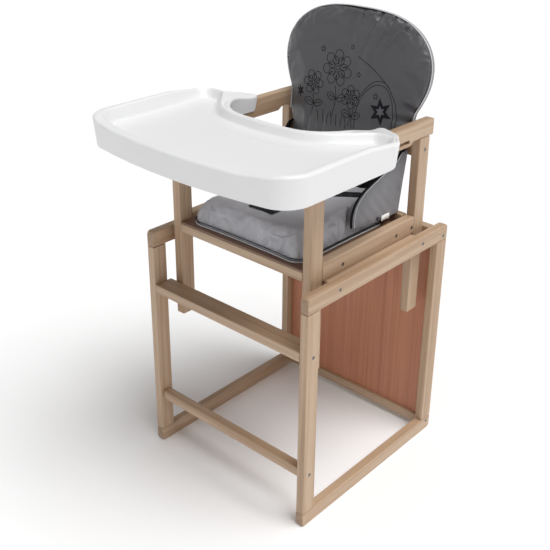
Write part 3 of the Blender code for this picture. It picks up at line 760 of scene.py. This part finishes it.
def rounded_box(bm, size, centre, radius=0.0016):
    placed = Matrix.Translation(centre) @ Matrix.Diagonal((*size, 1))
    made = bmesh.ops.create_cube(bm, size=1, matrix=placed)
    edges = list({e for v in made["verts"] for e in v.link_edges})
    bmesh.ops.bevel(bm, geom=edges, offset=radius, segments=3, profile=0.5, affect="EDGES")


def build_buckle(tree):
    """A side-release buckle: a hooded body, a plug with two sprung prongs, and three strap bars."""
    low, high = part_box("harness_buckle")
    middle = (low + high) / 2
    wide, deep = high.x - low.x, high.y - low.y
    spot, _, _, _ = tree.ray_cast(Vector((middle.x, middle.y, 1)), Vector((0, 0, -1)))
    foot = max(spot.z, low.z) + 0.0008
    height = high.z - foot - 0.0008
    bm = bmesh.new()
    hood = (middle.x, middle.y + deep * 0.02, foot + height / 2)
    rounded_box(bm, (wide * 0.80, deep * 0.46, height), hood, 0.003)
    plug = (middle.x, low.y + deep * 0.17, foot + height * 0.31)
    rounded_box(bm, (wide * 0.46, deep * 0.20, height * 0.62), plug)
    front_bar = (middle.x, low.y + deep * 0.045, foot + height * 0.25)
    rounded_box(bm, (wide * 0.52, deep * 0.05, height * 0.5), front_bar, 0.001)
    for side in (-1, 1):
        prong = middle.x + side * wide * 0.44
        rounded_box(bm, (wide * 0.10, deep * 0.30, height * 0.66), (prong, middle.y, foot + height * 0.36))
        bar = (middle.x + side * wide * 0.24, high.y - deep * 0.16, foot + height * 0.28)
        rounded_box(bm, (wide * 0.30, deep * 0.07, height * 0.42), bar, 0.001)
        post = (middle.x + side * wide * 0.40, high.y - deep * 0.22, foot + height * 0.28)
        rounded_box(bm, (wide * 0.07, deep * 0.22, height * 0.46), post, 0.001)
    for k in range(3):
        rib = middle.y + deep * (0.02 + 0.09 * (k - 1))
        rounded_box(bm, (wide * 0.34, 0.0012, 0.0010), (middle.x, rib, foot + height), 0.0003)
    buckle = piece("buckle", bm, BUCKLE_BLACK, "chair")
    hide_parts("harness_buckle")


def build_harness(cushion):
    tree = surface_tree(cushion)
    low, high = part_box("crotch_strap")
    front = low.y + 0.016
    run = [(0, front), (0, (front + high.y) / 2), (0, high.y + 0.012)]
    strap("crotch_webbing", tree, run, high.x - low.x - 0.002, 1, "crotch_strap")
    for side, sign in SIDES.items():
        low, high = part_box(f"{side}_waist_strap")
        near = (sign * min(abs(low.x), abs(high.x)), low.y + 0.010)
        far = (sign * max(abs(low.x), abs(high.x)) - sign * 0.008, high.y - 0.011)
        middle = ((near[0] + far[0]) / 2, (near[1] + far[1]) / 2 - 0.004)
        run = [near, middle, far]
        strap(f"{side}_waist_webbing", tree, run, WAIST_STRAP_WIDTH, 0, f"{side}_waist_strap")
    build_buckle(tree)


# --- Back cushion -----------------------------------------------------------------------------


def back_place():
    """The matrix from (across, up the board, forward) to the world, zero at the seat board's top."""
    low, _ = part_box("backrest_board")
    foot = Vector((0, low.y, low.z + BOARD_THICK * sin(BACK_LEAN)))
    turn = Matrix.Rotation(pi / 2 - BACK_LEAN, 4, "X")
    return Matrix.Translation(foot) @ turn @ Matrix.Translation((0, BOARD_BELOW_SEAT, 0))


BACK_HALF = [
    (0.080, 0.0155), (0.136, 0.0165), (0.1550, 0.027), (0.1588, 0.080), (0.1590, 0.150), (0.1590, 0.169),
    (0.1690, 0.178), (0.1712, 0.205), (0.1740, 0.238), (0.1850, 0.262), (0.1955, 0.290), (0.2000, 0.318),
    (0.1975, 0.348), (0.1850, 0.378), (0.1620, 0.404), (0.1300, 0.424), (0.0880, 0.4370), (0.0430, 0.4425),
]
BACK_TOP = 0.4435


def back_outline(grow=0.0, foot=0.0):
    """The cushion's outline, run round from the foot's middle. A foot above zero cuts it off there."""
    half = [Vector((0, BACK_HALF[0][1]))] + [Vector(p) for p in BACK_HALF] + [Vector((0, BACK_TOP))]
    if foot:
        half = [Vector((0, foot)), Vector((0.08, foot)), Vector((0.150, foot)), Vector((0.1705, foot))]
        half += [Vector(p) for p in BACK_HALF if p[1] > foot + 0.012] + [Vector((0, BACK_TOP))]
    mirror = [Vector((-p.x, p.y)) for p in reversed(half[1:-1])]
    points = smooth_run(half + mirror, 5, closed=True)
    count = len(points)
    moved = []
    for i, point in enumerate(points):
        along = (points[(i + 1) % count] - points[i - 1]).normalized()
        moved.append(point + Vector((along.y, -along.x)) * grow)
    return moved


BLACK_BELOW = 0.132
PAD_LIMIT = 0.0268
BACK_FOLDS = [
    ((0.055, 0.438), (0.015, 0.290), 0.0052, 0.0090),
    ((0.090, 0.430), (0.045, 0.325), 0.0044, 0.0075),
    ((0.125, 0.415), (0.072, 0.345), 0.0040, 0.0060),
    ((0.010, 0.442), (-0.015, 0.320), 0.0032, 0.0095),
    ((0.190, 0.245), (0.105, 0.262), 0.0050, 0.0085),
    ((0.185, 0.222), (0.115, 0.225), 0.0040, 0.0065),
    ((-0.100, 0.140), (-0.085, 0.280), 0.0040, 0.0085),
    ((-0.055, 0.140), (-0.048, 0.250), 0.0032, 0.0075),
    ((0.060, 0.140), (0.072, 0.240), 0.0034, 0.0085),
    ((-0.195, 0.300), (-0.130, 0.335), 0.0028, 0.0065),
]
PAD_DOME = 0.0262
SIDE_CLIPS = ((0.240, 0.1745), (0.172, 0.1590))


def build_back_front(placing):
    """The charcoal front of the back cushion, swollen by cloth pressure from a flat pad."""
    outline = back_outline(-0.0020)
    bm = prism(outline, 0.0006, 0.0165)
    face = [e for e in bm.edges if all(v.co.z > 0.01 for v in e.verts)]
    bmesh.ops.bevel(bm, geom=face, offset=0.008, segments=3, profile=0.6, affect="EDGES")
    pad = piece("back_cushion_cover", bm, [CHARCOAL, LINING], "chair")
    remesh(pad, 0.0052)
    puff(pad, lambda p: p[:, 2] < 0.0042, pressure=4.0, cap=0.022, growth=0.035)
    subdivide(pad)
    points = coordinates(pad.data)
    points[:, 2] *= min(1, PAD_DOME / points[:, 2].max())
    plan = points[:, :2]
    inside, along, total = nearest_on(outline, plan)
    front = np.clip(points[:, 2] / 0.006, 0, 1)
    rise = np.clip(points[:, 2] - 0.004, 0, None)
    reach = inside * 0.8 + np.where(inside < 0.02, rise * 0.5, 0)
    normals = vertex_normals(pad.data)
    all_round = gathers(reach, along, total, count=58, deep=0.0012, long=0.028, wide=0.0040, seed=5)
    drawn = all_round * front
    upper_right = np.clip((plan[:, 0] + 0.02) / 0.10, 0, 1) * np.clip((plan[:, 1] - 0.30) / 0.06, 0, 1)
    deeper = gathers(reach, along, total, count=64, deep=0.0030, long=0.050, wide=0.0042, seed=8, slant=0.9)
    drawn += deeper * front * upper_right
    for start, end, deep, wide in BACK_FOLDS:
        drawn += fold(plan, start, end, deep, wide) * front
    drawn += 0.0016 * front * np.array(
        [noise.noise(Vector((p[0] * 11, p[1] * 6, 4.2))) for p in points]
    )
    points = points - normals * drawn[:, None]
    points[:, 2] = np.clip(points[:, 2], 0.0004, PAD_LIMIT)
    for below, half in SIDE_CLIPS:
        low_part = points[:, 1] < below
        points[low_part, 0] = np.clip(points[low_part, 0], -half, half)
    set_coordinates(pad.data, points)
    for face in pad.data.polygons:
        face.material_index = 1 if face.center.y < BLACK_BELOW else 0
    pad.data.transform(placing)
    return pad


def build_back_rear(placing):
    """The grey rear of the cushion: a cover that hugs the board's back and edges, open at its foot."""
    foot = 0.190
    outer = back_outline(0.0005, foot)
    centre = Vector((0, 0.300))
    rings = 34
    wall = 0.0011
    round_edge = 0.0085
    rear = -0.0104
    front_lip = 0.0030
    curved = [p for p in outer if p.y > foot + 0.004]
    open_run = np.array([[p.x, p.y] for p in curved])
    loops = [[(p.x, p.y, front_lip) for p in outer]]
    loops.append([(p.x, p.y, 0.5 * (front_lip + rear + round_edge)) for p in outer])
    for k in range(rings):
        share = 1 - (k / rings) ** 1.35
        row = []
        for p in outer:
            spot = centre + (p - centre) * share
            reach = np.min(np.linalg.norm(open_run - np.array((spot.x, spot.y)), axis=1))
            near = max(0.0, 1 - reach / round_edge)
            w = rear + round_edge * (1 - (1 - near**2) ** 0.5)
            ripple = 0.0009 * noise.noise(Vector((spot.x * 26, spot.y * 14, 7.3)))
            ripple += 0.0006 * sin(spot.x * 95 + 3 * sin(spot.y * 18)) * exp(-(p.y - foot) ** 2 / 0.0009)
            row.append((spot.x, spot.y, w + abs(ripple) * (1 - near)))
        loops.append(row)
    bm = bmesh.new()
    made = [[bm.verts.new(p) for p in row] for row in loops]
    count = len(outer)
    for first, second in zip(made, made[1:]):
        for i in range(count):
            bm.faces.new((first[i - 1], first[i], second[i], second[i - 1]))
    bm.faces.new(made[-1])
    hem = [f for f in bm.faces if all(v.co.y < foot + 0.0005 for v in f.verts)]
    bmesh.ops.delete(bm, geom=hem, context="FACES")
    cover = piece("back_cushion_rear", bm, BACK_GREY, "chair")
    thicken(cover, wall)
    cover.data.transform(placing)


def build_back_trim(placing):
    """The pale piping in the cushion's edge seam, and the rear cover's hem."""
    edge = [placing @ Vector((p.x, p.y, 0.0034)) for p in back_outline(-0.0006) if p.y > 0.186]
    tube("back_seam_piping", edge, 0.0013, PALE_PIPING_AND_HIGHLIGHT)
    hem = [placing @ Vector((x, 0.1925, -0.0112)) for x in np.linspace(-0.166, 0.166, 40)]
    tube("back_rear_hem", hem, 0.0011, BACK_GREY)


# --- Print on the back cushion ----------------------------------------------------------------


def ring_of(centre, radius, steps=20):
    """Points of a closed circle about a centre."""
    angles = [2 * pi * k / steps for k in range(steps + 1)]
    return [(centre[0] + radius * cos(a), centre[1] + radius * sin(a)) for a in angles]


def petals(centre, reach, count, turn=0.0, plump=0.34):
    """The outline of a flower: petals around a centre."""
    points = []
    steps = 12 * count
    for k in range(steps + 1):
        angle = 2 * pi * k / steps
        swell = abs(sin(count * angle / 2)) ** plump
        r = reach * (0.34 + 0.66 * swell)
        points.append((centre[0] + r * cos(angle + turn), centre[1] + r * sin(angle + turn)))
    return points


def star(centre, reach, count=6, turn=pi / 2, waist=0.48):
    points = []
    for k in range(2 * count + 1):
        r = reach if k % 2 == 0 else reach * waist
        angle = turn + pi * k / count
        points.append((centre[0] + r * cos(angle), centre[1] + r * sin(angle)))
    return points


def flower(centre, reach, count, turn, drop):
    """A daisy in outline: two rounds of petals, a ringed heart, a bent stem and two leaves."""
    x, y = centre
    runs = [petals(centre, reach, count, turn), petals(centre, reach * 0.66, count, turn + pi / count)]
    runs += [ring_of(centre, reach * 0.24), ring_of(centre, reach * 0.13, 10)]
    stem = [(x, y - reach), (x + 0.006, y - reach - 0.4 * drop), (x + 0.001, y - reach - drop)]
    runs.append(smooth_run(stem, 8))
    middle = Vector(stem[1])
    for sign in (-1, 1):
        leaf = [(0, 0), (sign * 0.013, 0.012), (sign * 0.026, 0.006), (sign * 0.012, -0.005), (0, 0)]
        runs.append(smooth_run([middle + Vector(p) for p in leaf], 6))
        runs.append([middle, middle + Vector((sign * 0.020, 0.006))])
    return runs


def print_strokes():
    """A generic meadow in front of a hill: daisies, grass and small stars, as runs of points."""
    strokes = []
    strokes += flower((-0.030, 0.305), 0.040, 7, 0.2, 0.070)
    strokes += flower((-0.092, 0.262), 0.028, 6, 0.5, 0.050)
    strokes += flower((0.016, 0.248), 0.026, 6, 0.1, 0.040)
    for grow in (0.0, 0.008):
        hill = [(0.036 - grow, 0.180), (0.034 - grow, 0.215), (0.046, 0.256 + grow), (0.078, 0.286 + grow),
                (0.112, 0.280 + grow), (0.130 + grow, 0.240), (0.132 + grow, 0.190)]
        strokes.append(smooth_run(hill, 8))
    strokes.append(smooth_run([(0.022, 0.338), (0.060, 0.322), (0.092, 0.302), (0.116, 0.284)], 6))
    for k in range(7):
        x = -0.066 + 0.013 * k
        tip = (x - 0.007 + 0.004 * (k % 3), 0.202 + 0.004 * (k % 2))
        strokes.append([(x, 0.176), (x - 0.002, 0.190), tip])
    for centre, reach in (((-0.076, 0.340), 0.007), ((0.030, 0.300), 0.006), ((0.004, 0.356), 0.006),
                          ((0.082, 0.262), 0.007)):
        strokes.append(star(centre, reach, 5))
    return strokes


def on_back(tree, placing, u, v, lift):
    """The point of the cushion's face at (across, up), and the face's normal there."""
    start = placing @ Vector((u, v, 0.08))
    forward = (placing.to_3x3() @ Vector((0, 0, 1))).normalized()
    spot, normal, _, _ = tree.ray_cast(start, -forward)
    return spot + normal * lift, normal


def fine_run(stroke, step=0.0022):
    """The stroke cut into short lengths, so that it follows the cloth."""
    points = []
    for a, b in zip(stroke, stroke[1:]):
        a, b = Vector(a), Vector(b)
        count = max(1, int((b - a).length / step))
        points += [a.lerp(b, k / count) for k in range(count)]
    return points + [Vector(stroke[-1])]


INK_THICK = 0.0003
PRINT_LINE = (0.0014, 0.0004)


def build_print(pad, placing):
    tree = surface_tree(pad)
    bm = bmesh.new()
    for stroke in print_strokes():
        places = [on_back(tree, placing, p.x, p.y, 0.0001) for p in fine_run(stroke)]
        spots = [spot for spot, _ in places]
        sweep(bm, spots, flat_band(*PRINT_LINE), normal=[normal for _, normal in places])
    piece("back_print_lines", bm, PRINT_INK, "chair")
    for name, centre, reach, finish, lift in (
        ("back_print_flower", (0.100, 0.232), 0.030, PRINT_INK, 0.0004),
        ("back_print_flower_heart", (0.100, 0.232), 0.013, PRINT_PALE, 0.0008),
        ("back_print_bud", (-0.130, 0.236), 0.014, PRINT_INK, 0.0004),
    ):
        outline = star(centre, reach, 6, pi / 2 + 0.2)
        patch = bmesh.new()
        rows = []
        for share in (1.0, 0.8, 0.6, 0.4, 0.2):
            ring = [Vector(centre).lerp(p, share) for p in fine_run(outline)[:-1]]
            rows.append([patch.verts.new(on_back(tree, placing, p.x, p.y, lift)[0]) for p in ring])
        for first, second in zip(rows, rows[1:]):
            for i in range(len(first)):
                patch.faces.new((first[i - 1], first[i], second[i], second[i - 1]))
        patch.faces.new(rows[-1])
        decal = piece(name, patch, finish, "chair")
        thicken(decal, INK_THICK)


def build_back():
    placing = back_place()
    pad = build_back_front(placing)
    build_back_rear(placing)
    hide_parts("back_cushion")
    build_back_trim(placing)
    build_print(pad, placing)


# --- Side wings -------------------------------------------------------------------------------


def between(run, t):
    """The point a share t along a run of points."""
    spot = t * (len(run) - 1)
    k = min(int(spot), len(run) - 2)
    return run[k].lerp(run[k + 1], spot - k)


def wing_edges(side):
    """The wing's curved front edge and straight rear edge, from foot to head, as (y, z) runs."""
    low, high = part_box(f"{side}_side_wing")
    y, z = low.y, low.z
    front = [(0.0010, 0.0095), (0.0004, 0.024), (0.0030, 0.042), (0.0150, 0.063), (0.0390, 0.080),
             (0.0760, 0.0935), (0.1200, 0.107), (0.1520, 0.120), (0.1700, 0.1365)]
    front = smooth_run([(y + a, z + b) for a, b in front], 8)
    heights = [z + (high.z - 0.001 - z) * k / 6 for k in range(7)]
    rear = [Vector((board_face(h) + 0.0030, h)) for h in heights]
    front[-1] = rear[-1] - Vector((0.004, 0.0005))
    return front, rear


WING_BASE = 0.1606
WING_THICK = 0.0028
TAG_COLUMNS = (27, 35)
STUD_COLUMN = 24
STUD_SIDES = 20


def build_wing(side, sign):
    front, rear = wing_edges(side)
    low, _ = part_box(f"{side}_side_wing")
    across, up = 46, 54
    sheets = {"out": [], "in": []}
    for j in range(up + 1):
        t = j / up
        a, b = between(front, t), between(rear, t)
        for face, rows in sheets.items():
            row = []
            for i in range(across + 1):
                s = i / across
                p = a.lerp(b, s)
                dip = 0.0042 * sin(pi * s) * (1 - t) ** 6
                swell = (sin(pi * s) ** 0.6) * (sin(pi * min(0.06 + 0.94 * t, 1)) ** 0.5)
                crease = 0.5 * sin(210 * (p.x - low.y) + 150 * (p.y - low.z) + 2.2 * sin(30 * p.y))
                crease += 1.2 * noise.noise(Vector((p.x * 34, p.y * 22, 2.0 + sign)))
                rim = min(1.0, 9 * min(s, 1 - s), 12 * min(t + 0.02, 1.02 - t))
                x = WING_BASE + 0.0058 * s ** 4 + 0.0066 * swell + 0.0022 * crease * swell
                half = WING_THICK / 2 * rim ** 0.5
                x += half if face == "out" else -half
                row.append(Vector((sign * x, p.x, p.y - dip)))
            rows.append(row)
    bm = bmesh.new()
    grids = {}
    for face, rows in sheets.items():
        grids[face] = [[bm.verts.new(p) for p in row] for row in rows]
    for face, grid in grids.items():
        for j in range(up):
            for i in range(across):
                quad = (grid[j][i], grid[j][i + 1], grid[j + 1][i + 1], grid[j + 1][i])
                made = bm.faces.new(quad if (face == "out") == (sign > 0) else tuple(reversed(quad)))
                made.material_index = 0 if face == "out" else 1
    out, inner = grids["out"], grids["in"]
    border = [(j, 0) for j in range(up, 0, -1)] + [(0, i) for i in range(across)]
    border += [(j, across) for j in range(up)] + [(up, i) for i in range(across, 0, -1)]
    for (j, i), (m, k) in zip(border, border[1:] + border[:1]):
        bm.faces.new((out[j][i], out[m][k], inner[m][k], inner[j][i]))
    edge = [(out[j][0].co + inner[j][0].co) / 2 for j in range(up + 1)]
    # A thin pale cord on the outer face beside the black front piping: a painted highlight of that piping.
    highlight_line = [out[j][2].co + Vector((sign * 0.0006, 0, 0)) for j in range(up + 1)]
    foot = [(out[0][i].co + inner[0][i].co) / 2 for i in range(across + 1)]
    tag_row = [out[2][i].co.copy() for i in range(across + 1)]
    wing = piece(f"{side}_wing", bm, [WING_GREY, LINING], "chair")
    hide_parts(f"{side}_side_wing")
    tube(f"{side}_wing_piping", edge, 0.0026, LINING)
    # Painted highlight: a pale cord along the outer side of the black piping.
    tube(f"{side}_wing_painted_highlight", highlight_line, 0.0008, PALE_PIPING_AND_HIGHLIGHT)
    tube(f"{side}_wing_foot_hem", foot, 0.0016, WING_GREY)
    return tag_row


def build_tag(row, sign):
    """The small blank care tag and the press stud at the right wing's foot."""
    bm = bmesh.new()
    first, last = TAG_COLUMNS
    corners = [row[i] + Vector((sign * 0.0022, 0, -0.0015)) for i in range(first, last + 1)]
    section = [(0.0065, 0.0004), (0, 0.0006), (-0.0065, 0.0004),
               (-0.0065, -0.0003), (0, -0.0002), (0.0065, -0.0003)]
    sweep(bm, corners, section, normal=[(sign, 0, 0)] * len(corners))
    piece("care_tag", bm, TAG_WHITE, "chair")
    stud = row[STUD_COLUMN] + Vector((sign * 0.0020, 0, 0.001))
    bm = bmesh.new()
    profile = [(0.0001, 0.0018), (0.0022, 0.0017), (0.0038, 0.0012),
               (0.0044, 0.0004), (0.0044, -0.0006), (0.0001, -0.0006)]
    rings = []
    for radius, height in profile:
        rings.append([bm.verts.new(stud + Vector((sign * height, radius * cos(a), radius * sin(a))))
                      for a in (2 * pi * k / STUD_SIDES for k in range(STUD_SIDES))])
    for lower, upper in zip(rings, rings[1:]):
        for k in range(STUD_SIDES):
            bm.faces.new((lower[k - 1], lower[k], upper[k], upper[k - 1]))
    bm.faces.new(rings[0])
    bm.faces.new(rings[-1])
    piece("press_stud", bm, BUCKLE_BLACK, "chair")


def build_wings():
    for side, sign in SIDES.items():
        row = build_wing(side, sign)
        if side == "right":
            build_tag(row, sign)


build_camera()
build_studio()
finish_nodes()
build_harness(build_seat_cushion())
build_back()
build_wings()
